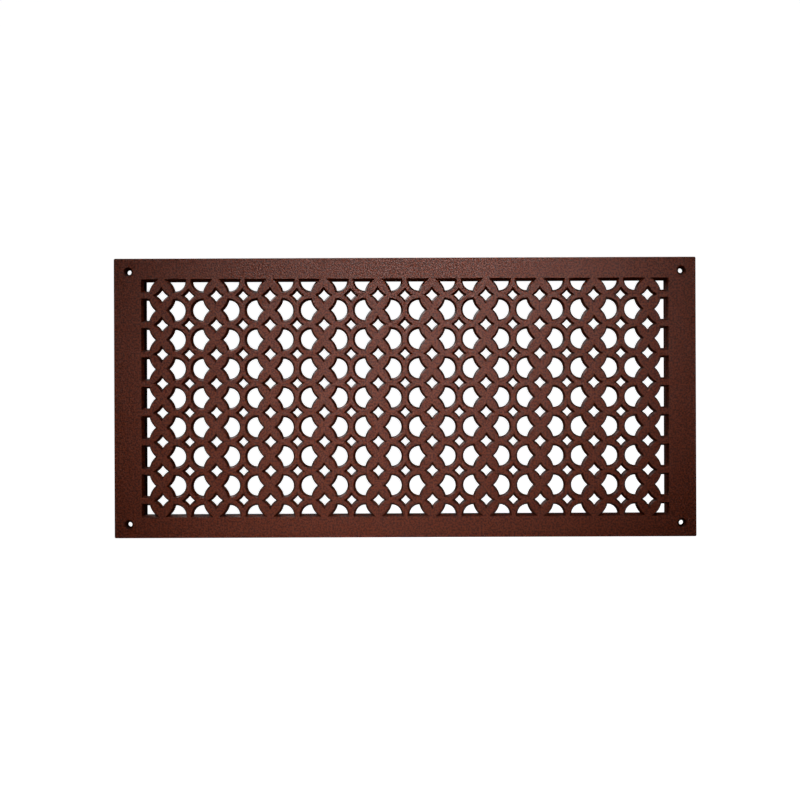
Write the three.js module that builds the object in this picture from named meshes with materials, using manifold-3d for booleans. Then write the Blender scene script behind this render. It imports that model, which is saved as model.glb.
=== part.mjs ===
// A cast metal wall grille, made in one piece: a plain border with four countersunk corner holes,
// a pierced field of rings and crossed bands flush with the border's face, and a short collar
// behind that enters the opening in the wall.
// Millimetres, +Z up. The face looks along -Y, the border's back lies on the wall at y = 0, and
// the origin is the centre of the opening, in the plane of the wall.
import * as THREE from "three";
import { mergeVertices } from "three/addons/utils/BufferGeometryUtils.js";
import Module from "manifold-3d";

// The pattern: columns of crossings with a large diamond between each two, and midway between the
// columns a bar with a small diamond at each of its ends. Each opening has a point at a crossing
// and a round end at a bar, and its height is the diameter of the round end. All are measured at
// the back of the field, where the openings are narrowest.
const COLUMNS = 10;
const ROWS = 8;
const OPENING_WIDTH = 16.5;
const OPENING_HEIGHT = 20.5;
const WAIST_WIDTH = 14.9;
const BAR_WIDTH = 8.2;
const ROW_WEB = 9.9;
const BAND_BULGE = 0.95;
const LARGE_DIAMOND = 10.8;
const SMALL_DIAMOND = 8.8;

// The border, measured from the edge of the pierced field. The field ends at the middle of a row
// of openings above and below, and this far beyond its outermost crossings at the sides.
const SIDE_BORDER = 30.2;
const END_BORDER = 23.4;
const SIDE_REACH = 19.1;

// The thickness of the border and of the field, how far the collar stands out behind the border
// and how thick its wall is, and how much the walls of an opening spread towards the face.
const BORDER_THICKNESS = 5.6;
const FIELD_THICKNESS = 3.6;
const COLLAR_DEPTH = 7.4;
const COLLAR_WALL = 3;
const WALL_DRAFT = 1.6;

// The four screw holes.
const HOLE_SIDE_INSET = 15;
const HOLE_END_INSET = 14;
const HOLE_DIAMETER = 5;
const COUNTERSINK_DIAMETER = 9.6;
const COUNTERSINK_DEPTH = 2.6;

// How finely the curved edges are faceted.
const ROUND_FACETS = 4;
const BAND_FACETS = 2;
const HOLE_FACETS = 12;

// A cutting tool runs past the faces that it cuts by this much, and corners that lie closer
// together than the merging distance are one.
const RUN_OUT = 1;
const MERGE_DISTANCE = 1e-4;

const columnPitch = WAIST_WIDTH + 2 * OPENING_WIDTH + BAR_WIDTH;
const rowPitch = OPENING_HEIGHT + ROW_WEB;
const roundRadius = OPENING_HEIGHT / 2;
const roundOffset = WAIST_WIDTH / 2 + OPENING_WIDTH - roundRadius;
const fieldHalfWidth = ((COLUMNS - 1) * columnPitch) / 2 + SIDE_REACH;
const fieldHalfHeight = (ROWS * rowPitch) / 2;
const halfWidth = fieldHalfWidth + SIDE_BORDER;
const halfHeight = fieldHalfHeight + END_BORDER;
const face = -BORDER_THICKNESS;
const fieldBack = face + FIELD_THICKNESS;

const wasm = await Module();
wasm.setup();

// A closed geometry as a solid that can be joined and cut.
function solidOf(geometry) {
  const bare = geometry.clone();
  bare.deleteAttribute("normal");
  bare.deleteAttribute("uv");
  const merged = mergeVertices(bare, MERGE_DISTANCE);
  return new wasm.Manifold(
    new wasm.Mesh({
      numProp: 3,
      vertProperties: merged.attributes.position.array,
      triVerts: new Uint32Array(merged.index.array),
    }),
  );
}

// A block between two corners.
function block(low, high) {
  const size = high.map((value, axis) => value - low[axis]);
  const geometry = new THREE.BoxGeometry(...size);
  geometry.translate(...low.map((value, axis) => value + size[axis] / 2));
  return solidOf(geometry);
}

// Points along an arc from one point to another, both included, that bows out by the given bulge
// to the left of the way.
function arcBetween(from, to, bulge, facets) {
  const chord = new THREE.Vector2().subVectors(to, from);
  const half = chord.length() / 2;
  const radius = (half * half + bulge * bulge) / (2 * bulge);
  const left = new THREE.Vector2(-chord.y, chord.x).normalize();
  const centre = from.clone().add(to).multiplyScalar(0.5).addScaledVector(left, bulge - radius);
  const start = Math.atan2(from.y - centre.y, from.x - centre.x);
  const sweep = -2 * Math.asin(half / radius);
  return Array.from({ length: facets + 1 }, (_, step) => {
    const angle = start + (sweep * step) / facets;
    return new THREE.Vector2(
      centre.x + radius * Math.cos(angle),
      centre.y + radius * Math.sin(angle),
    );
  });
}

// The side of an opening that comes to a point at a crossing, from the crown of the opening to
// its foot, with the crossing at the origin and the opening on its right.
function pointedSide() {
  const crown = new THREE.Vector2(roundOffset, roundRadius);
  const tip = new THREE.Vector2(WAIST_WIDTH / 2, 0);
  const foot = new THREE.Vector2(roundOffset, -roundRadius);
  const upper = arcBetween(crown, tip, BAND_BULGE, BAND_FACETS);
  const lower = arcBetween(tip, foot, BAND_BULGE, BAND_FACETS);
  return [...upper, ...lower.slice(1)];
}

// An opening that is pointed at the crossing and round at the bar.
function roundOpening() {
  const facetAngle = Math.PI / ROUND_FACETS;
  const circle = [];
  for (let step = 1; step < ROUND_FACETS; step += 1) {
    const angle = step * facetAngle - Math.PI / 2;
    const x = roundOffset + roundRadius * Math.cos(angle);
    circle.push(new THREE.Vector2(x, roundRadius * Math.sin(angle)));
  }
  return [...pointedSide(), ...circle];
}

// An opening that is pointed at the crossing and square beyond, to be cut off by the border.
function squareOpening() {
  const far = SIDE_REACH + SIDE_BORDER;
  return [
    ...pointedSide(),
    new THREE.Vector2(far, -roundRadius),
    new THREE.Vector2(far, roundRadius),
  ];
}

// A diamond with the given diagonal, centred on the origin.
function diamond(diagonal) {
  const half = diagonal / 2;
  return [
    new THREE.Vector2(half, 0),
    new THREE.Vector2(0, half),
    new THREE.Vector2(-half, 0),
    new THREE.Vector2(0, -half),
  ];
}

// An outline moved to a place in the field, and mirrored left to right where side is -1.
function placed(outline, x, z, side) {
  const moved = outline.map((point) => new THREE.Vector2(x + side * point.x, z + point.y));
  return side < 0 ? moved.reverse() : moved;
}

// The part of an outline where the given coordinate, times the sign, stays below the limit.
function clipped(outline, axis, sign, limit) {
  const kept = [];
  outline.forEach((point, index) => {
    const next = outline[(index + 1) % outline.length];
    const here = limit - sign * point[axis];
    const there = limit - sign * next[axis];
    if (here > -MERGE_DISTANCE) {
      kept.push(point);
    }
    if (here * there < 0 && Math.min(Math.abs(here), Math.abs(there)) > MERGE_DISTANCE) {
      kept.push(point.clone().lerp(next, here / (here - there)));
    }
  });
  return kept;
}

// An outline cut off at the edges of the pierced field.
function withinField(outline) {
  const left = clipped(outline, "x", -1, fieldHalfWidth);
  const sides = clipped(left, "x", 1, fieldHalfWidth);
  const low = clipped(sides, "y", -1, fieldHalfHeight);
  return clipped(low, "y", 1, fieldHalfHeight);
}

// An anticlockwise outline grown by a distance, square to each of its edges.
function grown(outline, distance) {
  const count = outline.length;
  return outline.map((point, index) => {
    const before = new THREE.Vector2().subVectors(point, outline[(index + count - 1) % count]);
    const after = new THREE.Vector2().subVectors(outline[(index + 1) % count], point);
    const normalBefore = new THREE.Vector2(before.y, -before.x).normalize();
    const normalAfter = new THREE.Vector2(after.y, -after.x).normalize();
    const middle = normalBefore.clone().add(normalAfter);
    return point.clone().addScaledVector(middle, (2 * distance) / middle.lengthSq());
  });
}

// A closed solid between an outline at one depth and a matching outline further back.
function lofted(front, frontY, back, backY) {
  const count = front.length;
  const positions = [];
  const corner = (outline, index, y) => [outline[index].x, y, outline[index].y];
  const triangle = (a, b, c) => positions.push(...a, ...b, ...c);
  for (const [a, b, c] of THREE.ShapeUtils.triangulateShape(front, [])) {
    triangle(corner(front, a, frontY), corner(front, b, frontY), corner(front, c, frontY));
    triangle(corner(back, c, backY), corner(back, b, backY), corner(back, a, backY));
  }
  for (let index = 0; index < count; index += 1) {
    const next = (index + 1) % count;
    const frontHere = corner(front, index, frontY);
    const frontNext = corner(front, next, frontY);
    const backHere = corner(back, index, backY);
    const backNext = corner(back, next, backY);
    triangle(frontHere, backHere, backNext);
    triangle(frontHere, backNext, frontNext);
  }
  const geometry = new THREE.BufferGeometry();
  geometry.setAttribute("position", new THREE.Float32BufferAttribute(positions, 3));
  return solidOf(geometry);
}

// The tool that cuts one opening, with walls that widen towards the face as a casting's do.
function openingCutter(outline) {
  const slope = WALL_DRAFT / FIELD_THICKNESS;
  const front = grown(outline, WALL_DRAFT + slope * RUN_OUT);
  const back = grown(outline, -slope * RUN_OUT);
  return lofted(front, face - RUN_OUT, back, fieldBack + RUN_OUT);
}

// The places of a number of columns or rows, a pitch apart and centred on the field.
function stations(count, pitch) {
  return Array.from({ length: count }, (_, index) => (index - (count - 1) / 2) * pitch);
}

// The outline of every opening in the field.
function fieldOutlines() {
  const columns = stations(COLUMNS, columnPitch);
  const bars = stations(COLUMNS - 1, columnPitch);
  const diamondRows = stations(ROWS, rowPitch);
  const ringRows = stations(ROWS + 1, rowPitch);
  const outlines = [];
  for (const z of diamondRows) {
    columns.forEach((x) => outlines.push(placed(diamond(LARGE_DIAMOND), x, z, 1)));
    bars.forEach((x) => outlines.push(placed(diamond(SMALL_DIAMOND), x, z, 1)));
  }
  for (const z of ringRows) {
    columns.forEach((x, index) => {
      const left = index === 0 ? squareOpening() : roundOpening();
      const right = index === COLUMNS - 1 ? squareOpening() : roundOpening();
      outlines.push(placed(left, x, z, -1), placed(right, x, z, 1));
    });
  }
  return outlines.map(withinField).filter((outline) => outline.length > 2);
}

// The uncut casting: the border plate with the collar behind it, hollowed inside the collar up to
// the back of the field.
function blank() {
  const plate = block([-halfWidth, face, -halfHeight], [halfWidth, 0, halfHeight]);
  const outerX = fieldHalfWidth + COLLAR_WALL;
  const outerZ = fieldHalfHeight + COLLAR_WALL;
  const collar = block([-outerX, face, -outerZ], [outerX, COLLAR_DEPTH, outerZ]);
  const hollow = block(
    [-fieldHalfWidth, fieldBack, -fieldHalfHeight],
    [fieldHalfWidth, COLLAR_DEPTH + RUN_OUT, fieldHalfHeight],
  );
  return plate.add(collar).subtract(hollow);
}

// The tool that cuts one countersunk screw hole, turned on its own axis and laid along Y.
function screwHoleCutter(x, z) {
  const headRadius = COUNTERSINK_DIAMETER / 2;
  const shankRadius = HOLE_DIAMETER / 2;
  const shoulder = face + COUNTERSINK_DEPTH;
  const profile = [
    [0, face - RUN_OUT],
    [headRadius, face - RUN_OUT],
    [headRadius, face],
    [shankRadius, shoulder],
    [shankRadius, RUN_OUT],
    [0, RUN_OUT],
  ];
  const points = profile.map(([radius, y]) => new THREE.Vector2(radius, y));
  const geometry = new THREE.LatheGeometry(points, HOLE_FACETS);
  geometry.translate(x, 0, z);
  return solidOf(geometry);
}

// The finished casting.
function casting() {
  let solid = blank();
  for (const outline of fieldOutlines()) {
    solid = solid.subtract(openingCutter(outline));
  }
  const holeX = halfWidth - HOLE_SIDE_INSET;
  const holeZ = halfHeight - HOLE_END_INSET;
  for (const x of [-holeX, holeX]) {
    for (const z of [-holeZ, holeZ]) {
      solid = solid.subtract(screwHoleCutter(x, z));
    }
  }
  const mesh = solid.getMesh();
  const geometry = new THREE.BufferGeometry();
  geometry.setAttribute("position", new THREE.BufferAttribute(mesh.vertProperties, 3));
  geometry.setIndex(new THREE.BufferAttribute(mesh.triVerts, 1));
  return geometry;
}

const brownPowderCoat = new THREE.MeshStandardMaterial({
  color: 0x5a3a31,
  roughness: 0.6,
  metalness: 0,
});

const grille = new THREE.Mesh(casting(), brownPowderCoat);
grille.name = "grille";

const part = new THREE.Group();
part.add(grille);

export default part;
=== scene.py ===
"""The looks of a cast metal wall grille: its fine surface, its powder coat and its studio.

The grille is one casting: a plain border with four countersunk screw holes, a pierced field of
rings and crossed bands that is flush with the border, and a collar behind. Geometry Nodes make
it from the sizes in GrilleSizes. Everything is in metres, with the face looking along -Y, +Z up
and the back of the border at y = 0.
"""

import logging
import math
from dataclasses import dataclass, fields
from enum import Enum
from typing import Union

import bpy
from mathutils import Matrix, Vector


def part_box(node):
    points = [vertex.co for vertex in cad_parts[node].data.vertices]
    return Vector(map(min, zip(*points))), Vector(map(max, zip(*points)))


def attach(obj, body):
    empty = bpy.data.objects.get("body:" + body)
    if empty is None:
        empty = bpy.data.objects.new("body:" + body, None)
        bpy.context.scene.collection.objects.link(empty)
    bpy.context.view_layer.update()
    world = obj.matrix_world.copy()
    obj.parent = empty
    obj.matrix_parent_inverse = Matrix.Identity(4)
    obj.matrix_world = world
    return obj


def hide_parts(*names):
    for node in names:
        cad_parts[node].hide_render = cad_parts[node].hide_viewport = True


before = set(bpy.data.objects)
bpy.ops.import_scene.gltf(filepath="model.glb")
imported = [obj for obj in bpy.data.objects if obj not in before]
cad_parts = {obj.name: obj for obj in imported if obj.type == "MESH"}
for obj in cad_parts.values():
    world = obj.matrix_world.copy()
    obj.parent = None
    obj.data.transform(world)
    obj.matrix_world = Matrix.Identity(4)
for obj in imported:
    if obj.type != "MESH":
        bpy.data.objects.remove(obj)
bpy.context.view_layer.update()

log = logging.getLogger("wall_grille")

MM = 0.001
CAD_NODE = "grille"
BODY = "root"
COAT_SLOT = "brown_powder_coat"

# The bulge of a quarter circle, as a share of its radius.
QUARTER_BULGE = 1 - math.sqrt(0.5)

# The number of points that round off a corner of an outline.
FILLET_POINTS = 2

# How far from a level a point may lie and still count as on it.
LEVEL_TOLERANCE = 0.01 * MM

WHITE = (1.0, 1.0, 1.0, 1.0)

Point = tuple[float, float, float]
Colour = tuple[float, float, float, float]

# What the socket of a node may take.
Feed = Union["Number", bpy.types.NodeSocket, float, int, str, bool, tuple, list]


class Number:
    """A number that flows through a node tree, on which arithmetic adds Math nodes."""

    def __init__(self, tree: "NodeTree", socket: bpy.types.NodeSocket) -> None:
        """Wraps one output socket of a tree's node."""
        self.tree = tree
        self.socket = socket

    def apply(self, operation: str, *others: Feed) -> "Number":
        """The result of a Math node's operation on this number and any others.

        Args:
            operation: The Math node's operation.
            *others: Its second and third operands.

        Returns:
            The node's result.
        """
        return self.tree.math(operation, self, *others)

    def __add__(self, other: Feed) -> "Number":
        """Adds."""
        return self.tree.math("ADD", self, other)

    def __radd__(self, other: Feed) -> "Number":
        """Adds to a plain number."""
        return self.tree.math("ADD", other, self)

    def __sub__(self, other: Feed) -> "Number":
        """Subtracts."""
        return self.tree.math("SUBTRACT", self, other)

    def __rsub__(self, other: Feed) -> "Number":
        """Subtracts from a plain number."""
        return self.tree.math("SUBTRACT", other, self)

    def __mul__(self, other: Feed) -> "Number":
        """Multiplies."""
        return self.tree.math("MULTIPLY", self, other)

    def __rmul__(self, other: Feed) -> "Number":
        """Multiplies a plain number."""
        return self.tree.math("MULTIPLY", other, self)

    def __truediv__(self, other: Feed) -> "Number":
        """Divides."""
        return self.tree.math("DIVIDE", self, other)

    def __rtruediv__(self, other: Feed) -> "Number":
        """Divides a plain number."""
        return self.tree.math("DIVIDE", other, self)

    def __neg__(self) -> "Number":
        """Changes the sign."""
        return self.tree.math("MULTIPLY", self, -1.0)


class NodeTree:
    """A node tree of Blender, with one method that adds any node."""

    # A Mix node's sockets for colours share their names with others, so they go by number.
    MIX_FIRST = 6
    MIX_SECOND = 7
    MIX_RESULT = 2

    def __init__(self, tree: bpy.types.NodeTree) -> None:
        """Wraps an existing tree."""
        self.tree = tree

    def add(
        self, kind: str, settings: dict | None = None, values: dict | None = None
    ) -> bpy.types.Node:
        """Adds a node.

        Args:
            kind: The node's type.
            settings: Its properties by name, which are set first.
            values: What its sockets take, by name or index: a value, a socket or a Number, or a
                list of sockets for an input that takes several.

        Returns:
            The node.
        """
        node = self.tree.nodes.new(kind)
        for name, value in (settings or {}).items():
            setattr(node, name, value)
        for key, value in (values or {}).items():
            self.feed(node.inputs[key], value)
        return node

    def feed(self, socket: bpy.types.NodeSocket, value: Feed) -> None:
        """Links a socket to what feeds it, or gives it a plain value.

        Args:
            socket: The socket of an input.
            value: What it takes, or a list if it takes several.
        """
        if isinstance(value, list):
            for each in value:
                self.feed(socket, each)
        elif isinstance(value, Number):
            self.tree.links.new(value.socket, socket)
        elif isinstance(value, bpy.types.NodeSocket):
            self.tree.links.new(value, socket)
        else:
            socket.default_value = value

    def math(self, operation: str, *operands: Feed) -> Number:
        """Adds a Math node and returns its result."""
        node = self.add("ShaderNodeMath", {"operation": operation}, dict(enumerate(operands)))
        return Number(self, node.outputs[0])

    def vector(self, operation: str, *operands: Feed) -> bpy.types.NodeSocket:
        """Adds a Vector Math node and returns its vector.

        Args:
            operation: The node's operation.
            *operands: What it works on.

        Returns:
            Its vector.
        """
        settings = {"operation": operation}
        node = self.add("ShaderNodeVectorMath", settings, dict(enumerate(operands)))
        return node.outputs["Vector"]

    def scaled(self, vector: Feed, factor: Feed) -> bpy.types.NodeSocket:
        """Multiplies a vector by a number."""
        values = {0: vector, "Scale": factor}
        return self.add("ShaderNodeVectorMath", {"operation": "SCALE"}, values).outputs["Vector"]

    def blended(self, share: Feed, first: Feed, second: Feed) -> bpy.types.NodeSocket:
        """Mixes two colours, with the second one's share.

        Args:
            share: The second colour's share, from 0 to 1.
            first: The first colour.
            second: The second colour.

        Returns:
            The mix.
        """
        values = {"Factor": share, self.MIX_FIRST: first, self.MIX_SECOND: second}
        node = self.add("ShaderNodeMix", {"data_type": "RGBA"}, values)
        return node.outputs[self.MIX_RESULT]

    def combined(self, x: Feed = 0.0, y: Feed = 0.0, z: Feed = 0.0) -> bpy.types.NodeSocket:
        """Makes a vector of three numbers."""
        return self.add("ShaderNodeCombineXYZ", None, {"X": x, "Y": y, "Z": z}).outputs[0]

    def separated(self, vector: Feed) -> tuple[Number, Number, Number]:
        """Takes a vector apart into its three numbers."""
        node = self.add("ShaderNodeSeparateXYZ", None, {"Vector": vector})
        return tuple(Number(self, output) for output in node.outputs)


class MaterialTree(NodeTree):
    """The node tree of a new material."""

    def __init__(self, name: str) -> None:
        """Makes the material, without any nodes.

        Args:
            name: The material's name.
        """
        self.material = bpy.data.materials.new(name)
        self.material.use_nodes = True
        super().__init__(self.material.node_tree)
        self.tree.nodes.clear()

    def noise(self, size: float, octaves: float, fineness: float) -> bpy.types.NodeSocket:
        """Adds a noise over the piece's own coordinates.

        Args:
            size: The size of its largest patches.
            octaves: How many finer noises are laid over it.
            fineness: How strong each is beside the one before.

        Returns:
            Its height, from 0 to 1.
        """
        values = {
            "Vector": self.add("ShaderNodeTexCoord").outputs["Object"],
            "Scale": 1.0 / size,
            "Detail": octaves,
            "Roughness": fineness,
        }
        return self.add("ShaderNodeTexNoise", {"noise_dimensions": "3D"}, values).outputs[0]

    def principled(
        self, colour: Feed, roughness: float, gloss: float, others: dict | None = None
    ) -> bpy.types.NodeSocket:
        """Adds a Principled surface.

        Args:
            colour: Its base colour.
            roughness: Its roughness.
            gloss: Its specular level.
            others: What its other sockets take, by name.

        Returns:
            The surface.
        """
        values = {"Base Color": colour, "Roughness": roughness, "Specular IOR Level": gloss}
        values.update(others or {})
        return self.add("ShaderNodeBsdfPrincipled", None, values).outputs[0]

    def finished(self, surface: Feed) -> bpy.types.Material:
        """Gives the material its surface, and returns the material."""
        self.add("ShaderNodeOutputMaterial", None, {"Surface": surface})
        return self.material


class SocketKind(Enum):
    """What a socket on the outside of a tree carries."""

    WHOLE = "NodeSocketInt"
    LENGTH = "NodeSocketFloat"
    GEOMETRY = "NodeSocketGeometry"
    MATERIAL = "NodeSocketMaterial"


class GeometryTree(NodeTree):
    """A tree of Geometry Nodes, with named inputs and one output of geometry."""

    def __init__(self, name: str, **inputs: SocketKind) -> None:
        """Makes the tree and its inputs.

        Args:
            name: The tree's name.
            **inputs: What each input carries, by its name.
        """
        super().__init__(bpy.data.node_groups.new(name, "GeometryNodeTree"))
        for key, kind in inputs.items():
            self.tree.interface.new_socket(name=key, in_out="INPUT", socket_type=kind.value)
        self.tree.interface.new_socket(
            name="geometry", in_out="OUTPUT", socket_type=SocketKind.GEOMETRY.value
        )
        self.entry = self.tree.nodes.new("NodeGroupInput")
        self.exit = self.tree.nodes.new("NodeGroupOutput")

    def __getitem__(self, key: str) -> Number:
        """An input of the tree, by its name."""
        return Number(self, self.entry.outputs[key])

    def give(self, geometry: Feed) -> "GeometryTree":
        """Sets what the tree puts out, and returns the tree."""
        self.feed(self.exit.inputs["geometry"], geometry)
        return self

    def run(self, group: "GeometryTree", **values: Feed) -> bpy.types.NodeSocket:
        """Runs another tree inside this one.

        Args:
            group: The tree to run.
            **values: What its inputs take, by their names.

        Returns:
            Its output.
        """
        settings = {"node_tree": group.tree}
        return self.add("GeometryNodeGroup", settings, values).outputs["geometry"]

    def index(self) -> Number:
        """The index of the element that a field is worked out on."""
        return Number(self, self.add("GeometryNodeInputIndex").outputs[0])

    def position(self) -> bpy.types.NodeSocket:
        """The place of the element that a field is worked out on."""
        return self.add("GeometryNodeInputPosition").outputs[0]

    def stored(
        self, geometry: Feed, name: str, value: Feed, kind: str = "FLOAT"
    ) -> bpy.types.NodeSocket:
        """Keeps a value on each point of a geometry under a name.

        Args:
            geometry: The geometry.
            name: The name.
            value: The value, which may differ from point to point.
            kind: The type of the value.

        Returns:
            The geometry with the value on it.
        """
        settings = {"data_type": kind, "domain": "POINT"}
        values = {"Geometry": geometry, "Name": name, "Value": value}
        return self.add("GeometryNodeStoreNamedAttribute", settings, values).outputs[0]

    def recalled(self, name: str, kind: str = "FLOAT") -> Number:
        """Reads what was kept under a name."""
        node = self.add("GeometryNodeInputNamedAttribute", {"data_type": kind}, {"Name": name})
        return Number(self, node.outputs[0])

    def sampled(self, geometry: Feed, value: Feed, index: Feed, kind: str = "FLOAT") -> Number:
        """The value of a field at one point of another geometry.

        Args:
            geometry: The other geometry.
            value: The field.
            index: The index of the point.
            kind: The type of the value.

        Returns:
            The value there.
        """
        settings = {"data_type": kind, "domain": "POINT"}
        values = {"Geometry": geometry, "Value": value, "Index": index}
        return Number(self, self.add("GeometryNodeSampleIndex", settings, values).outputs[0])

    def point_count(self, curve: Feed) -> Number:
        """The number of points of a curve."""
        node = self.add("GeometryNodeAttributeDomainSize", {"component": "CURVE"}, {0: curve})
        return Number(self, node.outputs["Point Count"])

    def joined(self, *parts: Feed) -> bpy.types.NodeSocket:
        """Joins several geometries."""
        return self.add("GeometryNodeJoinGeometry", None, {0: list(parts)}).outputs[0]

    def moved(
        self, geometry: Feed, move: Feed = (0.0, 0.0, 0.0), turn: Point = (0.0, 0.0, 0.0)
    ) -> bpy.types.NodeSocket:
        """Turns a geometry about the origin and then moves it."""
        values = {"Geometry": geometry, "Translation": move, "Rotation": turn}
        return self.add("GeometryNodeTransform", None, values).outputs[0]

    def grid(self, width: Feed, height: Feed, across: Feed, up: Feed) -> bpy.types.NodeSocket:
        """Makes a centred grid of stations.

        Args:
            width: The distance between its outermost columns.
            height: The distance between its outermost rows.
            across: The number of columns.
            up: The number of rows.

        Returns:
            The grid.
        """
        values = {"Size X": width, "Size Y": height, "Vertices X": across, "Vertices Y": up}
        return self.add("GeometryNodeMeshGrid", None, values).outputs["Mesh"]

    def repeated(self, stations: Feed, shape: Feed) -> bpy.types.NodeSocket:
        """Puts a copy of a shape at every station."""
        values = {"Points": stations, "Instance": shape}
        return self.add("GeometryNodeInstanceOnPoints", None, values).outputs[0]


def corner_tree() -> GeometryTree:
    """Makes the tree that lays out one corner of a line.

    Returns:
        The tree, which puts out one point.
    """
    length = SocketKind.LENGTH
    tree = GeometryTree("corner_of_a_line", x=length, y=length, order=length, shade=length)
    values = {"Count": 1, "Position": tree.combined(tree["x"], tree["y"])}
    point = tree.add("GeometryNodePoints", None, values).outputs[0]
    point = tree.stored(point, "order", tree["order"])
    point = tree.stored(point, "corner", 1.0)
    # The painted shade at this point, which darkens the coat to stand in for shadow.
    return tree.give(tree.stored(point, "shade", tree["shade"]))


def arc_tree() -> GeometryTree:
    """Makes the tree that lays out an arc of a line, up to but without the arc's last point.

    Returns:
        The tree, which puts out the arc's points.
    """
    length = SocketKind.LENGTH
    ends = {key: length for key in ("from_x", "from_y", "to_x", "to_y", "bulge", "order")}
    shades = {"shade": length, "to_shade": length}
    tree = GeometryTree("arc_of_a_line", facets=SocketKind.WHOLE, **ends, **shades)
    chord_x = tree["to_x"] - tree["from_x"]
    chord_y = tree["to_y"] - tree["from_y"]
    chord = (chord_x * chord_x + chord_y * chord_y).apply("SQRT")
    half = chord / 2.0
    radius = (half * half + tree["bulge"] * tree["bulge"]) / (2.0 * tree["bulge"])
    half_angle = (half / radius).apply("ARCSINE")
    share = tree.index() / tree["facets"]
    angle = (2.0 * share - 1.0) * half_angle
    along = radius * angle.apply("SINE") / chord
    aside = radius * (angle.apply("COSINE") - half_angle.apply("COSINE")) / chord
    x = (tree["from_x"] + tree["to_x"]) / 2.0 + chord_x * along - chord_y * aside
    y = (tree["from_y"] + tree["to_y"]) / 2.0 + chord_y * along + chord_x * aside
    values = {"Count": tree["facets"], "Position": tree.combined(x, y)}
    points = tree.add("GeometryNodePoints", None, values).outputs[0]
    points = tree.stored(points, "order", tree["order"] + share)
    points = tree.stored(points, "corner", tree.index().apply("LESS_THAN", 0.5))
    # The painted shade goes evenly from one end of the arc to the other.
    shade = tree["shade"] + (tree["to_shade"] - tree["shade"]) * share
    return tree.give(tree.stored(points, "shade", shade))


def line_tree() -> GeometryTree:
    """Makes the tree that joins laid out points into one open line.

    Returns:
        The tree, which puts out the line as a curve.
    """
    tree = GeometryTree("open_line", points=SocketKind.GEOMETRY)
    values = {"Points": tree["points"], "Weight": tree.recalled("order")}
    return tree.give(tree.add("GeometryNodePointsToCurves", None, values).outputs[0])


def outline_tree() -> GeometryTree:
    """Makes the tree that closes laid out points into an anticlockwise outline.

    Each point keeps, as "outward", the way that its corner moves when the outline grows by one.
    A mirror of -1 gives the outline mirrored left to right.

    Returns:
        The tree, which puts out the outline as a closed curve.
    """
    length = SocketKind.LENGTH
    tree = GeometryTree(
        "closed_outline", points=SocketKind.GEOMETRY, mirror=length, fillet=length
    )
    x, y, _ = tree.separated(tree.position())
    values = {"Geometry": tree["points"], "Position": tree.combined(x * tree["mirror"], y)}
    points = tree.add("GeometryNodeSetPosition", None, values).outputs[0]
    values = {"Points": points, "Weight": tree.recalled("order") * tree["mirror"]}
    line = tree.add("GeometryNodePointsToCurves", None, values).outputs[0]
    closing = {"Geometry": line, "Cyclic": True}
    ring = tree.add("GeometryNodeSetSplineCyclic", None, closing).outputs[0]
    count = tree.point_count(ring)

    def neighbour(step: Feed) -> bpy.types.NodeSocket:
        """The place of the point that many steps further round.

        Args:
            step: The number of steps.

        Returns:
            The place.
        """
        index = (tree.index() + step).apply("MODULO", count)
        values = {"Value": tree.position(), "Index": index}
        settings = {"data_type": "FLOAT_VECTOR", "domain": "POINT"}
        return tree.add("GeometryNodeFieldAtIndex", settings, values).outputs[0]

    here = tree.position()
    before = tree.vector("NORMALIZE", tree.vector("SUBTRACT", here, neighbour(count - 1.0)))
    after = tree.vector("NORMALIZE", tree.vector("SUBTRACT", neighbour(1.0), here))
    way_x, way_y, _ = tree.separated(tree.vector("ADD", before, after))
    growth = 2.0 / (way_x * way_x + way_y * way_y)
    outward = tree.combined(way_y * growth, -way_x * growth)
    ring = tree.stored(ring, "outward", outward, "FLOAT_VECTOR")
    radius = tree.recalled("corner") * tree["fillet"]
    values = {"Curve": ring, "Count": FILLET_POINTS, "Radius": radius, "Limit Radius": True}
    return tree.give(tree.add("GeometryNodeFilletCurve", {"mode": "POLY"}, values).outputs[0])


def sweep_tree() -> GeometryTree:
    """Makes the tree that runs a section round an outline, mitred at the outline's corners.

    The section's X is the distance out from the outline and its Y the height. Its faces point
    away from the middle where the section goes down, and towards it where the section goes up.

    Returns:
        The tree, which puts out the skin.
    """
    geometry = SocketKind.GEOMETRY
    tree = GeometryTree("section_round_an_outline", outline=geometry, section=geometry)
    around = tree.point_count(tree["outline"])
    steps = tree.point_count(tree["section"])
    values = {"Vertices": around, "Side Segments": steps - 1.0}
    tube = tree.add("GeometryNodeMeshCylinder", {"fill_type": "NONE"}, values).outputs["Mesh"]
    place = tree.index().apply("MODULO", around)
    # Half a point more keeps the quotient from rounding down to the step before.
    step = ((tree.index() + 0.5) / around).apply("FLOOR")
    vector = "FLOAT_VECTOR"
    base = tree.sampled(tree["outline"], tree.position(), place, vector)
    outward = tree.sampled(tree["outline"], tree.recalled("outward", vector), place, vector)
    profile = tree.sampled(tree["section"], tree.position(), step, vector)
    away, height, _ = tree.separated(profile)
    spread = tree.vector("ADD", base, tree.scaled(outward, away))
    target = tree.vector("ADD", spread, tree.combined(0.0, 0.0, height))
    # The section's painted shade, which stands in for shadow, is carried onto the skin.
    shade = tree.sampled(tree["section"], tree.recalled("shade"), step)
    tube = tree.stored(tube, "shade", shade)
    values = {"Geometry": tube, "Position": target}
    return tree.give(tree.add("GeometryNodeSetPosition", None, values).outputs[0])


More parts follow.
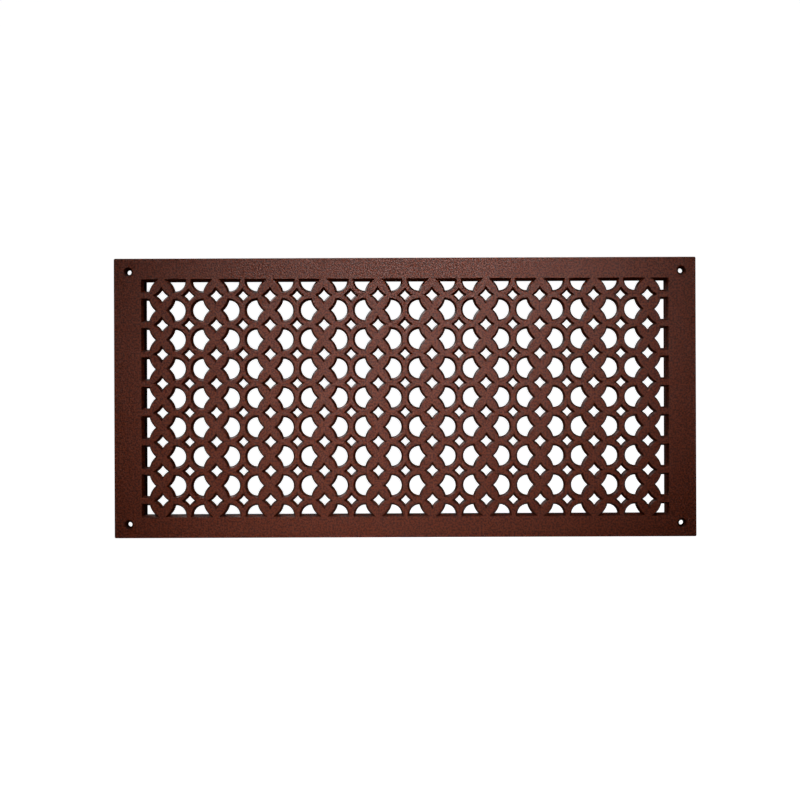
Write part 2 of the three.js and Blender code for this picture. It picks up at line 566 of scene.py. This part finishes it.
def cap_tree() -> GeometryTree:
    """Makes the tree that fills the flat between the open edges at one height, facing up.

    Returns:
        The tree, which puts out the flat.
    """
    tree = GeometryTree("flat_between_rims", rims=SocketKind.GEOMETRY, level=SocketKind.LENGTH)
    faces = Number(tree, tree.add("GeometryNodeInputMeshEdgeNeighbors").outputs[0])
    _, _, height = tree.separated(tree.position())
    on_level = (height - tree["level"]).apply("ABSOLUTE").apply("LESS_THAN", LEVEL_TOLERANCE)
    # An open edge has one face, and any other has two.
    is_open = faces.apply("LESS_THAN", 1.5)
    values = {"Mesh": tree["rims"], "Selection": is_open * on_level}
    loops = tree.add("GeometryNodeMeshToCurve", None, values).outputs[0]
    flat = tree.add("GeometryNodeFillCurve", {"mode": "TRIANGLES"}, {"Curve": loops}).outputs[0]
    return tree.give(tree.moved(flat, tree.combined(0.0, 0.0, tree["level"])))


@dataclass(frozen=True)
class Toolbox:
    """The small trees that every outline, section and flat of the casting is made with."""

    corner: GeometryTree
    arc: GeometryTree
    line: GeometryTree
    outline: GeometryTree
    sweep: GeometryTree
    cap: GeometryTree

    @classmethod
    def made(cls) -> "Toolbox":
        """Makes the trees.

        Returns:
            The toolbox.
        """
        return cls(
            corner_tree(), arc_tree(), line_tree(), outline_tree(), sweep_tree(), cap_tree()
        )


class Line:
    """A line of corners and arcs, laid out one after another in a tree."""

    def __init__(self, tree: GeometryTree, tools: Toolbox) -> None:
        """Starts an empty line.

        Args:
            tree: The tree that the line is laid out in.
            tools: The small trees that lay it out.
        """
        self.tree = tree
        self.tools = tools
        self.parts: list[bpy.types.NodeSocket] = []

    def corner(self, x: Feed, y: Feed, shade: float = 0.0) -> "Line":
        """Adds a corner.

        Args:
            x: Its place across.
            y: Its place up.
            shade: How far painted shade darkens the coat there, from 0 to 1.

        Returns:
            The line.
        """
        order = float(len(self.parts))
        part = self.tree.run(self.tools.corner, x=x, y=y, order=order, shade=shade)
        self.parts.append(part)
        return self

    def arc(
        self,
        start: tuple[Feed, Feed],
        end: tuple[Feed, Feed],
        bulge: Feed,
        facets: int,
        shades: tuple[float, float] = (0.0, 0.0),
    ) -> "Line":
        """Adds an arc, without its last point.

        Args:
            start: Where it starts.
            end: Where it ends.
            bulge: How far it bows out to the left of its way, or to the right if negative.
            facets: The number of its facets.
            shades: How far painted shade darkens the coat at its two ends, from 0 to 1.

        Returns:
            The line.
        """
        part = self.tree.run(
            self.tools.arc,
            from_x=start[0],
            from_y=start[1],
            to_x=end[0],
            to_y=end[1],
            bulge=bulge,
            facets=facets,
            order=float(len(self.parts)),
            shade=shades[0],
            to_shade=shades[1],
        )
        self.parts.append(part)
        return self

    def opened(self) -> bpy.types.NodeSocket:
        """The line as an open curve."""
        return self.tree.run(self.tools.line, points=self.tree.joined(*self.parts))

    def closed(self, fillet: Feed, mirror: float = 1.0) -> bpy.types.NodeSocket:
        """The line as a closed outline.

        Args:
            fillet: The radius of its corners.
            mirror: -1 for the outline mirrored left to right.

        Returns:
            The outline.
        """
        points = self.tree.joined(*self.parts)
        return self.tree.run(self.tools.outline, points=points, mirror=mirror, fillet=fillet)


@dataclass(frozen=True)
class GrilleSizes:
    """The sizes of the casting. Each is an input of its tree of Geometry Nodes.

    The heights count from the wall that the back of the border lies on, towards the viewer.
    The openings and diamonds are measured at the back of the field, where they are narrowest.
    """

    plate_width: float
    plate_height: float
    border_thickness: float
    collar_depth: float
    columns: int = 10
    rows: int = 8
    opening_width: float = 16.5 * MM
    opening_height: float = 20.5 * MM
    waist_width: float = 14.9 * MM
    bar_width: float = 8.2 * MM
    row_web: float = 9.9 * MM
    band_bulge: float = 0.95 * MM
    large_diamond: float = 11.4 * MM
    large_hollow: float = 0.53 * MM
    small_diamond: float = 9.4 * MM
    small_hollow: float = 0.32 * MM
    side_reach: float = 19.1 * MM
    field_thickness: float = 3.6 * MM
    collar_wall: float = 3 * MM
    collar_setback: float = 0.3 * MM
    wall_draft: float = 1.85 * MM
    edge_radius: float = 0.3 * MM
    back_radius: float = 0.2 * MM
    lip: float = 0.05 * MM
    opening_fillet: float = 0.35 * MM
    diamond_fillet: float = 0.3 * MM
    plate_fillet: float = 1.2 * MM
    collar_edge: float = 0.4 * MM
    collar_root: float = 1 * MM
    hole_side_inset: float = 15 * MM
    hole_end_inset: float = 14 * MM
    hole_diameter: float = 5 * MM
    countersink_diameter: float = 9.6 * MM
    countersink_depth: float = 2.6 * MM
    countersink_edge: float = 0.35 * MM

    @classmethod
    def from_frame(cls) -> "GrilleSizes":
        """Takes the overall sizes from the frame's solid.

        Returns:
            The sizes.
        """
        low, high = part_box(CAD_NODE)
        return cls(
            plate_width=high.x - low.x,
            plate_height=high.z - low.z,
            border_thickness=-low.y,
            collar_depth=high.y,
        )


@dataclass(frozen=True)
class Facets:
    """How finely the casting's curves are faceted."""

    round_end: int = 14
    band: int = 5
    diamond_side: int = 3
    edge: int = 3
    back_edge: int = 1
    hole: int = 28


@dataclass(frozen=True)
class PaintedShades:
    """Painted shade, from 0 to 1: how far the coat is darkened towards near-black in the recesses,
    to stand in for the shadow there.
    """

    opening_front: float = 0.58
    opening_back: float = 0.62
    collar_rim: float = 0.3
    collar_edge: float = 0.95
    collar_inside: float = 1.0
    countersink: float = 0.6
    hole: float = 1.0


class CastGrille:
    """The whole casting, grown by one tree of Geometry Nodes."""

    NAME = "grille_casting"
    SHARP_ANGLE = math.radians(40)
    WELD = 0.001 * MM
    HALF_TURN = (0.0, 0.0, math.pi)
    STAND_UP = (math.pi / 2, 0.0, 0.0)

    def __init__(
        self, sizes: GrilleSizes, facets: Facets, shades: PaintedShades, tools: Toolbox
    ) -> None:
        """Makes the casting's tree, with one input for each size and one for the finish.

        Args:
            sizes: The sizes of the casting.
            facets: How finely its curves are faceted.
            shades: How far painted shade darkens its coat in the recesses.
            tools: The small trees that it is made with.
        """
        self.sizes = sizes
        self.facets = facets
        self.shades = shades
        self.tools = tools
        kinds = {
            size.name: SocketKind.WHOLE if size.type is int else SocketKind.LENGTH
            for size in fields(sizes)
        }
        self.tree = GeometryTree("cast_grille", **kinds, finish=SocketKind.MATERIAL)
        self.work_out_places()

    def work_out_places(self) -> None:
        """Works out the places that several features share from the tree's inputs."""
        tree = self.tree
        self.face = tree["border_thickness"]
        self.field_back = self.face - tree["field_thickness"]
        self.column_pitch = (
            tree["waist_width"] + 2.0 * tree["opening_width"] + tree["bar_width"]
        )
        self.row_pitch = tree["opening_height"] + tree["row_web"]
        self.round_radius = tree["opening_height"] / 2.0
        self.half_waist = tree["waist_width"] / 2.0
        self.round_offset = self.half_waist + tree["opening_width"] - self.round_radius
        self.last_column = (tree["columns"] - 1.0) * self.column_pitch / 2.0
        self.field_half_width = self.last_column + tree["side_reach"]
        self.field_half_height = tree["rows"] * self.row_pitch / 2.0

    def line(self) -> Line:
        """Starts a line in the casting's tree."""
        return Line(self.tree, self.tools)

    def swept(self, outline: Feed, section: Feed) -> bpy.types.NodeSocket:
        """Runs a section round an outline."""
        return self.tree.run(self.tools.sweep, outline=outline, section=section)

    def rectangle(self, half_width: Feed, half_height: Feed, fillet: Feed) -> bpy.types.NodeSocket:
        """A centred rectangle with rounded corners, as an outline."""
        line = self.line().corner(-half_width, -half_height).corner(half_width, -half_height)
        return line.corner(half_width, half_height).corner(-half_width, half_height).closed(fillet)

    def opening_section(self) -> bpy.types.NodeSocket:
        """The section of an opening's wall, from the back of the field to the face.

        Returns:
            The section, as an open curve.
        """
        tree, line = self.tree, self.line()
        draft, radius, back = tree["wall_draft"], tree["edge_radius"], tree["back_radius"]
        lip, face, field_back = tree["lip"], self.face, self.field_back
        # Painted shade on the opening's wall, a little darker at the back edge than at the face,
        # stands in for the shadow in the opening.
        inner, outer = self.shades.opening_back, self.shades.opening_front
        line.corner(back + lip, field_back)
        line.arc((back, field_back), (0.0, field_back + back), back * QUARTER_BULGE,
                 self.facets.back_edge, (0.0, inner))
        line.corner(0.0, field_back + back, inner)
        line.arc((draft, face - radius), (draft + radius, face), radius * QUARTER_BULGE,
                 self.facets.edge, (outer, 0.0))
        line.corner(draft + radius, face)
        return line.corner(draft + radius + lip, face).opened()

    def plate_section(self) -> bpy.types.NodeSocket:
        """The section of the border's outer side, from the face to the wall.

        Returns:
            The section, as an open curve.
        """
        tree, line, face = self.tree, self.line(), self.face
        radius, back, lip = tree["edge_radius"], tree["back_radius"], tree["lip"]
        line.corner(-(radius + lip), face)
        line.arc((-radius, face), (0.0, face - radius), radius * QUARTER_BULGE, self.facets.edge)
        line.corner(0.0, face - radius)
        line.arc((0.0, back), (-back, 0.0), back * QUARTER_BULGE, self.facets.back_edge)
        return line.corner(-back, 0.0).corner(-(back + lip), 0.0).opened()

    def collar_section(self) -> bpy.types.NodeSocket:
        """The section of the collar, from the border's back round its end to the field's back.

        Returns:
            The section, as an open curve.
        """
        tree, line = self.tree, self.line()
        outer = tree["collar_wall"] - tree["collar_setback"]
        root, edge, end = tree["collar_root"], tree["collar_edge"], -tree["collar_depth"]
        line.corner(outer + root + tree["lip"], 0.0)
        line.arc((outer + root, 0.0), (outer, -root), -root * QUARTER_BULGE, self.facets.edge)
        line.corner(outer, -root)
        line.arc((outer, end + edge), (outer - edge, end), edge * QUARTER_BULGE, self.facets.edge)
        line.corner(outer - edge, end)
        # Painted shade from the collar's end round to the field's back stands in for the shadow
        # inside the collar.
        line.arc((edge, end), (0.0, end + edge), edge * QUARTER_BULGE, self.facets.edge,
                 (self.shades.collar_rim, self.shades.collar_edge))
        line.corner(0.0, end + edge, self.shades.collar_edge)
        return line.corner(0.0, self.field_back, self.shades.collar_inside).opened()

    def hole_section(self) -> bpy.types.NodeSocket:
        """The section of a countersunk hole, from the wall to the face.

        Returns:
            The section, as an open curve.
        """
        # Painted shade in the hole and on the countersink stands in for the shadow there.
        tree, line, face, hole_shade = self.tree, self.line(), self.face, self.shades.hole
        back, lip, edge = tree["back_radius"], tree["lip"], tree["countersink_edge"]
        reach = (tree["countersink_diameter"] - tree["hole_diameter"]) / 2.0
        slope = (tree["countersink_depth"] / reach).apply("ARCTANGENT")
        below = face - edge * slope.apply("SINE")
        beside = reach - edge * slope.apply("COSINE")
        half_slope = slope / 2.0
        bulge = edge * (1.0 - half_slope.apply("COSINE")) / half_slope.apply("TANGENT")
        line.corner(back + lip, 0.0)
        line.arc((back, 0.0), (0.0, back), back * QUARTER_BULGE, self.facets.back_edge, (0.0, hole_shade))
        line.corner(0.0, back, hole_shade)
        line.corner(0.0, face - tree["countersink_depth"], hole_shade)
        line.arc((beside, below), (reach + edge, face), bulge, self.facets.edge,
                 (self.shades.countersink, 0.0))
        return line.corner(reach + edge, face).corner(reach + edge + lip, face).opened()

    def round_opening(self) -> bpy.types.NodeSocket:
        """The outline of an opening that is pointed at a crossing and round at a bar.

        Returns:
            The outline.
        """
        tree, radius, offset = self.tree, self.round_radius, self.round_offset
        crown, tip, foot = (offset, radius), (self.half_waist, 0.0), (offset, -radius)
        line = self.line().arc(foot, crown, -radius, self.facets.round_end)
        line.arc(crown, tip, tree["band_bulge"], self.facets.band)
        line.arc(tip, foot, tree["band_bulge"], self.facets.band)
        return line.closed(tree["opening_fillet"])

    def half_opening(self, mirror: float) -> bpy.types.NodeSocket:
        """The outline of an opening that the top border cuts in half, mirrored if asked.

        Args:
            mirror: 1, or -1 for the one mirrored left to right.

        Returns:
            The outline.
        """
        tree, radius, offset = self.tree, self.round_radius, self.round_offset
        tip, foot, side = (self.half_waist, 0.0), (offset, -radius), (offset + radius, 0.0)
        facets = self.facets.round_end // 2
        line = self.line().arc(foot, side, -radius * QUARTER_BULGE, facets).corner(*side)
        line.arc(tip, foot, tree["band_bulge"], self.facets.band)
        return line.closed(tree["opening_fillet"], mirror)

    def side_slot(self) -> bpy.types.NodeSocket:
        """The outline of an opening that ends square against the side border.

        Returns:
            The outline.
        """
        tree, radius, offset = self.tree, self.round_radius, self.round_offset
        reach, tip, foot = tree["side_reach"], (self.half_waist, 0.0), (offset, -radius)
        line = self.line().corner(*foot).corner(reach, -radius).corner(reach, radius)
        line.arc((offset, radius), tip, tree["band_bulge"], self.facets.band)
        line.arc(tip, foot, tree["band_bulge"], self.facets.band)
        return line.closed(tree["opening_fillet"])

    def corner_slot(self, mirror: float) -> bpy.types.NodeSocket:
        """The outline of the opening in the corner of the border, mirrored if asked.

        Args:
            mirror: 1, or -1 for the one mirrored left to right.

        Returns:
            The outline.
        """
        tree, radius = self.tree, self.round_radius
        reach, tip, foot = tree["side_reach"], (self.half_waist, 0.0), (self.round_offset, -radius)
        line = self.line().corner(*foot).corner(reach, -radius).corner(reach, 0.0)
        line.arc(tip, foot, tree["band_bulge"], self.facets.band)
        return line.closed(tree["opening_fillet"], mirror)

    def diamond(self, diagonal: Number, hollow: Number) -> bpy.types.NodeSocket:
        """The outline of a diamond whose sides are slightly hollow.

        Args:
            diagonal: Its width and its height.
            hollow: How far its sides bow in.

        Returns:
            The outline.
        """
        half = diagonal / 2.0
        tips = [(half, 0.0), (0.0, half), (-half, 0.0), (0.0, -half)]
        line = self.line()
        for tip, following in zip(tips, tips[1:] + tips[:1]):
            line.arc(tip, following, hollow, self.facets.diamond_side)
        return line.closed(self.tree["diamond_fillet"])

    def hole_outline(self) -> bpy.types.NodeSocket:
        """The outline of a screw hole.

        Returns:
            The outline.
        """
        radius = self.tree["hole_diameter"] / 2.0
        left, right = (-radius, 0.0), (radius, 0.0)
        line = self.line().arc(left, right, -radius, self.facets.hole // 2)
        return line.arc(right, left, -radius, self.facets.hole // 2).closed(0.0)

    def half_field(self, section: Feed) -> bpy.types.NodeSocket:
        """The openings right of their crossings, and all those of the top row.

        Turned half round about the middle of the field, they give the others.

        Args:
            section: The section of their walls.

        Returns:
            Their walls, as instances.
        """
        tree, pitch = self.tree, self.column_pitch
        bars, ring_rows = tree["columns"] - 1.0, tree["rows"] - 1.0
        width, height = (bars - 1.0) * pitch, (ring_rows - 1.0) * self.row_pitch
        whole = tree.grid(width, height, bars, ring_rows)
        top = tree.grid(width, 0.0, bars, 1)
        edge = tree.grid(0.0, height, 1, ring_rows)
        one = tree.grid(0.0, 0.0, 1, 1)
        parts = [
            (whole, self.round_opening(), -pitch / 2.0, 0.0),
            (edge, self.side_slot(), self.last_column, 0.0),
        ]
        for mirror in (1.0, -1.0):
            parts += [
                (top, self.half_opening(mirror), pitch * -0.5 * mirror, self.field_half_height),
                (one, self.corner_slot(mirror), self.last_column * mirror, self.field_half_height),
            ]
        rims = []
        for stations, outline, x, y in parts:
            placed = tree.moved(stations, tree.combined(x, y))
            rims.append(tree.repeated(placed, self.swept(outline, section)))
        return tree.joined(*rims)

    def diamonds(self, section: Feed) -> bpy.types.NodeSocket:
        """The diamonds between the crossings and those at the ends of the bars.

        Args:
            section: The section of their walls.

        Returns:
            Their walls, as instances.
        """
        tree = self.tree
        height = (tree["rows"] - 1.0) * self.row_pitch
        rims = []
        for count, diagonal, hollow in (
            (tree["columns"], tree["large_diamond"], tree["large_hollow"]),
            (tree["columns"] - 1.0, tree["small_diamond"], tree["small_hollow"]),
        ):
            width = (count - 1.0) * self.column_pitch
            stations = tree.grid(width, height, count, tree["rows"])
            rim = self.swept(self.diamond(diagonal, hollow), section)
            rims.append(tree.repeated(stations, rim))
        return tree.joined(*rims)

    def screw_holes(self) -> bpy.types.NodeSocket:
        """The four countersunk holes.

        Returns:
            Their walls, as instances.
        """
        tree = self.tree
        width = tree["plate_width"] - 2.0 * tree["hole_side_inset"]
        height = tree["plate_height"] - 2.0 * tree["hole_end_inset"]
        rim = self.swept(self.hole_outline(), self.hole_section())
        return tree.repeated(tree.grid(width, height, 2, 2), rim)

    def rims(self) -> bpy.types.NodeSocket:
        """Every wall and rounded edge of the casting, without the flats between them.

        Returns:
            The walls and edges, as one mesh.
        """
        tree = self.tree
        section = self.opening_section()
        half = self.half_field(section)
        plate = self.rectangle(
            tree["plate_width"] / 2.0, tree["plate_height"] / 2.0, tree["plate_fillet"]
        )
        setback = tree["collar_setback"]
        hollow = self.rectangle(
            self.field_half_width + setback, self.field_half_height + setback, setback
        )
        whole = tree.joined(
            half,
            tree.moved(half, turn=self.HALF_TURN),
            self.diamonds(section),
            self.screw_holes(),
            self.swept(plate, self.plate_section()),
            self.swept(hollow, self.collar_section()),
        )
        return tree.add("GeometryNodeRealizeInstances", None, {0: whole}).outputs[0]

    def complete_tree(self) -> None:
        """Finishes the casting's tree: the rims, the flats between them and the finish."""
        tree = self.tree
        rims = self.rims()
        flats = [tree.run(self.tools.cap, rims=rims, level=self.face)]
        for level in (self.field_back, 0.0):
            flat = tree.run(self.tools.cap, rims=rims, level=level)
            flats.append(tree.add("GeometryNodeFlipFaces", None, {0: flat}).outputs[0])
        values = {"Geometry": tree.joined(rims, *flats), "Distance": self.WELD}
        skin = tree.add("GeometryNodeMergeByDistance", None, values).outputs[0]
        smooth = tree.add("GeometryNodeSetShadeSmooth", {"domain": "FACE"}, {0: skin}).outputs[0]
        angle = Number(tree, tree.add("GeometryNodeInputMeshEdgeAngle").outputs[0])
        sharp = angle.apply("GREATER_THAN", self.SHARP_ANGLE)
        values = {"Geometry": smooth, "Selection": sharp, "Shade Smooth": False}
        creased = tree.add("GeometryNodeSetShadeSmooth", {"domain": "EDGE"}, values).outputs[0]
        upright = tree.moved(creased, turn=self.STAND_UP)
        real = tree.add("GeometryNodeRealizeInstances", None, {0: upright}).outputs[0]
        values = {"Geometry": real, "Material": tree["finish"]}
        tree.give(tree.add("GeometryNodeSetMaterial", None, values).outputs[0])

    def build(self, finish: bpy.types.Material) -> bpy.types.Object:
        """Grows the casting as a plain mesh and ties it to the frame.

        Args:
            finish: The material of the whole casting.

        Returns:
            The piece.
        """
        self.complete_tree()
        seed = bpy.data.objects.new("casting_seed", bpy.data.meshes.new("casting_seed"))
        bpy.context.scene.collection.objects.link(seed)
        modifier = seed.modifiers.new("casting", "NODES")
        modifier.node_group = self.tree.tree
        values = {size.name: getattr(self.sizes, size.name) for size in fields(self.sizes)}
        values["finish"] = finish
        for item in self.tree.tree.interface.items_tree:
            if item.in_out == "INPUT":
                modifier[item.identifier] = values[item.name]
        depsgraph = bpy.context.evaluated_depsgraph_get()
        mesh = bpy.data.meshes.new_from_object(seed.evaluated_get(depsgraph), depsgraph=depsgraph)
        seed.modifiers.remove(modifier)
        bpy.data.objects.remove(seed)
        mesh.name = self.NAME
        piece = bpy.data.objects.new(self.NAME, mesh)
        bpy.context.scene.collection.objects.link(piece)
        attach(piece, BODY)
        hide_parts(CAD_NODE)
        return piece


@dataclass(frozen=True)
class PowderCoat:
    """A satin reddish-brown powder coat with a fine grain, and painted shade in the recesses.

    The grain is a bump, and the speckle goes between the dark and the light colour. The painted
    shade colour is a near-black that the shade attribute mixes in, standing in for the shadow in
    the recesses.
    """

    dark_colour: Colour = (0.067, 0.0112, 0.0034, 1.0)
    light_colour: Colour = (0.176, 0.0295, 0.009, 1.0)
    # Painted shade: a near-black without gloss that stands in for the shadow in the recesses.
    painted_shade_colour: Colour = (0.004, 0.0008, 0.0004, 1.0)
    roughness: float = 0.42
    gloss: float = 0.275
    # The roughness of the painted shade surface.
    painted_shade_roughness: float = 0.9
    grain_size: float = 1.5 * MM
    grain_height: float = 0.48 * MM
    grain_octaves: float = 3.0
    grain_fineness: float = 0.6
    speckle_size: float = 1.9 * MM
    speckle_contrast: float = 5.0
    speckle_octaves: float = 1.0
    speckle_fineness: float = 0.5

    def material(self) -> bpy.types.Material:
        """Makes the material.

        Returns:
            The material.
        """
        tree = MaterialTree(COAT_SLOT)
        grain = tree.noise(self.grain_size, self.grain_octaves, self.grain_fineness)
        values = {"Height": grain, "Distance": self.grain_height, "Strength": 1.0}
        bump = tree.add("ShaderNodeBump", None, values).outputs[0]
        speckle = tree.noise(self.speckle_size, self.speckle_octaves, self.speckle_fineness)
        share = (Number(tree, speckle) - 0.5) * self.speckle_contrast + 0.5
        colour = tree.blended(share, self.dark_colour, self.light_colour)
        coat = tree.principled(colour, self.roughness, self.gloss, {"Normal": bump})
        # Painted shade: the shade attribute mixes the coat towards the near-black surface on the
        # walls of the openings, inside the collar and in the holes, standing in for their shadow.
        painted_shade_surface = tree.principled(self.painted_shade_colour, self.painted_shade_roughness, 0.0)
        settings = {"attribute_type": "GEOMETRY", "attribute_name": "shade"}
        shade = tree.add("ShaderNodeAttribute", settings).outputs["Fac"]
        mixed = tree.add("ShaderNodeMixShader", None, {0: shade, 1: coat, 2: painted_shade_surface}).outputs[0]
        return tree.finished(mixed)


@dataclass(frozen=True)
class StudioPaper:
    """Matt white paper that glows evenly, as if lit from behind."""

    colour: Colour = (0.5, 0.5, 0.5, 1.0)
    roughness: float = 0.9
    glow: float = 1.0

    def material(self) -> bpy.types.Material:
        """Makes the material.

        Returns:
            The material.
        """
        tree = MaterialTree("pale_studio_paper")
        glow = {"Emission Color": WHITE, "Emission Strength": self.glow}
        return tree.finished(tree.principled(self.colour, self.roughness, 0.0, glow))


@dataclass(frozen=True)
class Softbox:
    """One soft light: where it is, what it is turned to, and how large and strong it is."""

    name: str
    place: Point
    target: Point
    size: tuple[float, float]
    power: float
    spread: float = math.pi
    roll: float = 0.0

    def build(self) -> None:
        """Makes the light."""
        data = bpy.data.lights.new(self.name, "AREA")
        data.shape = "RECTANGLE"
        data.size, data.size_y = self.size
        data.energy = self.power
        data.spread = self.spread
        light = bpy.data.objects.new(self.name, data)
        light.visible_camera = False
        light.location = self.place
        aim = (Vector(self.target) - Vector(self.place)).to_track_quat("-Z", "Y").to_euler()
        aim.rotate_axis("Z", self.roll)
        light.rotation_euler = aim
        bpy.context.scene.collection.objects.link(light)


@dataclass(frozen=True)
class Studio:
    """The pale room: a sheet that is floor and backdrop, the soft lights and the camera.

    The plate's centre and the foot point, which the camera stands square on to, count in the
    photo's pixels from its top left corner. The photo's scale is the size of a pixel at the face.
    """

    SENSOR_WIDTH = 36.0

    floor_level: float = -0.75
    radius: float = 3.2
    height: float = 3.2
    cove_radius: float = 0.9
    cove_facets: int = 24
    wall_facets: int = 64
    paper: StudioPaper = StudioPaper()
    face_distance: float = 0.819
    photo_side: float = 800.0
    photo_scale: float = 1.037 * MM
    plate_centre: tuple[float, float] = (405.1, 397.4)
    foot_point: tuple[float, float] = (430.0, 392.0)
    roll: float = 0.0037
    air: float = 0.012
    softboxes: tuple[Softbox, ...] = (
        Softbox("key_softbox", (-0.011, -1.6, 0.63), (-0.002, 0.0, 0.01), (0.382, 0.537), 0.625,
                math.radians(17.2), math.radians(-63)),
        Softbox("top_softbox", (0.0, -0.35, 1.15), (0.0, 0.0, 0.0), (0.9, 0.5), 5.0),
        Softbox("rear_softbox", (-0.9, 1.5, 1.1), (0.0, 0.0, 0.0), (1.0, 1.0), 32.0),
    )

    def camera(self) -> None:
        """Makes the camera, square on to the face, at the distance that its openings show."""
        data = bpy.data.cameras.new("camera")
        half_side = self.photo_side / 2.0
        view_half = half_side * self.photo_scale
        data.sensor_width = self.SENSOR_WIDTH
        data.lens = data.sensor_width / 2.0 * self.face_distance / view_half
        data.shift_x = (half_side - self.foot_point[0]) / self.photo_side
        data.shift_y = (self.foot_point[1] - half_side) / self.photo_side
        camera = bpy.data.objects.new("camera", data)
        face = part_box(CAD_NODE)[0].y
        camera.location = (
            (self.foot_point[0] - self.plate_centre[0]) * self.photo_scale,
            face - self.face_distance,
            (self.plate_centre[1] - self.foot_point[1]) * self.photo_scale,
        )
        camera.rotation_euler = (math.pi / 2, self.roll, 0.0)
        bpy.context.scene.collection.objects.link(camera)
        bpy.context.scene.camera = camera

    def cyclorama(self) -> None:
        """Makes the floor and the round backdrop as one sheet."""
        profile = [(0.0, self.floor_level)]
        centre = (self.radius - self.cove_radius, self.floor_level + self.cove_radius)
        for step in range(self.cove_facets + 1):
            angle = math.pi / 2 * step / self.cove_facets
            away = centre[0] + self.cove_radius * math.sin(angle)
            profile.append((away, centre[1] - self.cove_radius * math.cos(angle)))
        profile.append((self.radius, self.height))
        count, points, faces = len(profile), [], []
        for side in range(self.wall_facets):
            angle = 2 * math.pi * side / self.wall_facets
            for away, up in profile:
                points.append((away * math.cos(angle), away * math.sin(angle), up))
            here, following = side * count, (side + 1) % self.wall_facets * count
            for i in range(count - 1):
                faces.append((here + i, here + i + 1, following + i + 1, following + i))
        mesh = bpy.data.meshes.new("studio_floor")
        mesh.from_pydata(points, [], faces)
        mesh.shade_smooth()
        mesh.materials.append(self.paper.material())
        floor = bpy.data.objects.new("studio_floor", mesh)
        floor.visible_diffuse = False
        floor.visible_glossy = False
        bpy.context.scene.collection.objects.link(floor)

    def build(self) -> None:
        """Makes the whole studio."""
        bpy.context.scene.view_settings.view_transform = "Standard"
        self.camera()
        self.cyclorama()
        for softbox in self.softboxes:
            softbox.build()
        world = bpy.data.worlds.new("studio_air")
        world.use_nodes = True
        background = world.node_tree.nodes["Background"]
        background.inputs["Color"].default_value = WHITE
        background.inputs["Strength"].default_value = self.air
        bpy.context.scene.world = world


def main() -> None:
    """Builds the studio and the grille."""
    logging.basicConfig(level=logging.INFO, format="%(name)s: %(message)s")
    Studio().build()
    grille = CastGrille(GrilleSizes.from_frame(), Facets(), PaintedShades(), Toolbox.made())
    piece = grille.build(PowderCoat().material())
    piece.data.calc_loop_triangles()
    log.info("%s has %d triangles", piece.name, len(piece.data.loop_triangles))


if __name__ == "__main__":
    main()
